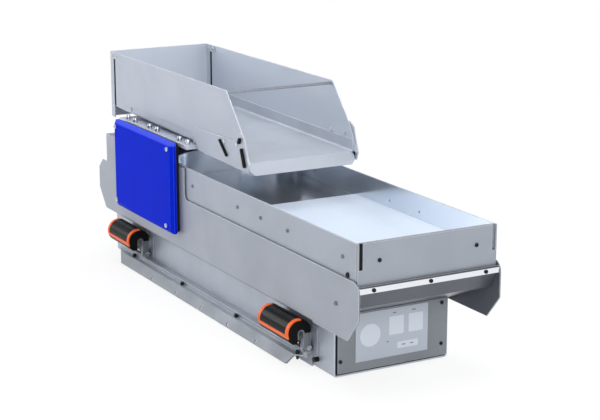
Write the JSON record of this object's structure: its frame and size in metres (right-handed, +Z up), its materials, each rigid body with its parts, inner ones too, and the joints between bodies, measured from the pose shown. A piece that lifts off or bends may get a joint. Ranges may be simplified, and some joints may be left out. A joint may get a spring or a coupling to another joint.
{
  "type": "linear vibratory feeder",
  "caption": "Linear vibratory feeder: a sheet-steel bulk hopper doses parts onto a spring-mounted vibrating tray with a light feed plate, on a base with clamp levers.",
  "frame": {"origin": "centre of the base box's underside, on the surface that it stands on", "axes": "+Z up; +Y along the feeder away from the discharge end; +X across, away from the side with the cover and the levers"},
  "size_m": [0.2525, 0.8583, 0.341],
  "materials": {
    "stainless_sheet": "fine bead-blasted stainless sheet",
    "polished_steel": "polished",
    "bright_steel": "zinc-plated, bright",
    "spring_steel": "rolled",
    "dull_steel": "bead-blasted screw heads",
    "black_steel": "black oxide",
    "painted_iron": "grey",
    "black_plastic": "satin black",
    "pad_plastic": "glossy black",
    "orange_plastic": "satin orange",
    "blue_plastic": "satin blue",
    "black_rubber": "matt",
    "light_plate": "satin white, translucent",
    "label_plate": "printed film"
  },
  "bodies": {
    "base": {"housing_shell": "stainless_sheet", "front_apron": "stainless_sheet", "front_clamp_strip": "polished_steel", "front_cross_bar": "painted_iron", "housing_rear_wall": "stainless_sheet", "housing_deck": "stainless_sheet", "side_cover": "blue_plastic", "cover_gasket": "black_rubber", "cover_screws": "bright_steel", "base_box": "stainless_sheet", "front_panel": "stainless_sheet", "panel_brackets": "painted_iron", "rear_panel": "stainless_sheet", "cable_gland": "black_plastic", "label_plate": "label_plate", "near_base_rail": "stainless_sheet", "far_base_rail": "stainless_sheet", "rail_bolts": "black_steel", "front_panel_screws": "black_steel", "side_wall_screws": "dull_steel", "apron_screws": "black_steel", "locating_pin": "black_steel", "front_clamp_bracket": "stainless_sheet", "rear_clamp_bracket": "stainless_sheet", "clamp_pins": "bright_steel", "tray_drive_base": "painted_iron", "tray_magnet": "painted_iron", "tray_leaf_springs": "spring_steel", "hopper_drive_base": "painted_iron", "hopper_magnet": "painted_iron", "hopper_leaf_springs": "spring_steel"},
    "tray": {"tray_shell": "stainless_sheet", "tray_front_plate": "stainless_sheet", "tray_front_spacers": "bright_steel", "feed_plate": "light_plate", "tray_screws": "dull_steel", "tray_front_screws": "black_steel", "tray_carrier": "stainless_sheet", "tray_armature": "painted_iron"},
    "hopper": {"hopper_near_wall": "stainless_sheet", "hopper_far_wall": "stainless_sheet", "hopper_rear_wall": "stainless_sheet", "hopper_corner_plates": "bright_steel", "hopper_pan": "stainless_sheet", "hopper_near_cheek": "stainless_sheet", "hopper_far_cheek": "stainless_sheet", "hopper_buffers": "black_rubber", "hopper_cross_rod": "polished_steel", "hopper_screws": "bright_steel", "hopper_carrier": "stainless_sheet", "hopper_carrier_screws": "bright_steel", "hopper_armature": "painted_iron"},
    "front_lever": {"front_lever_grip": "black_plastic", "front_lever_trim": "orange_plastic", "front_lever_pad": "pad_plastic", "front_lever_hook": "stainless_sheet"},
    "rear_lever": {"rear_lever_grip": "black_plastic", "rear_lever_trim": "orange_plastic", "rear_lever_pad": "pad_plastic", "rear_lever_hook": "stainless_sheet"}
  },
  "joints": [
    {"name": "tray_vibration", "type": "slide", "parent": "base", "child": "tray", "axis": [0, -0.9563, 0.2924], "range_m": [-0.0008, 0.0008], "stiffness_N_per_m": 200000, "deforming": ["tray_leaf_springs"]},
    {"name": "hopper_vibration", "type": "slide", "parent": "base", "child": "hopper", "axis": [0, -0.9563, 0.2924], "range_m": [-0.0008, 0.0008], "stiffness_N_per_m": 200000, "deforming": ["hopper_leaf_springs"]},
    {"name": "front_lever_pivot", "type": "hinge", "parent": "base", "child": "front_lever", "pos_m": [-0.099, -0.2385, 0.028], "axis": [0, -1, 0], "range_deg": [0, 60], "stiffness_Nm_per_rad": 0.08, "springref_deg": -40.11},
    {"name": "rear_lever_pivot", "type": "hinge", "parent": "base", "child": "rear_lever", "pos_m": [-0.099, 0.3015, 0.028], "axis": [0, -1, 0], "range_deg": [0, 60], "stiffness_Nm_per_rad": 0.08, "springref_deg": -40.11}
  ]
}
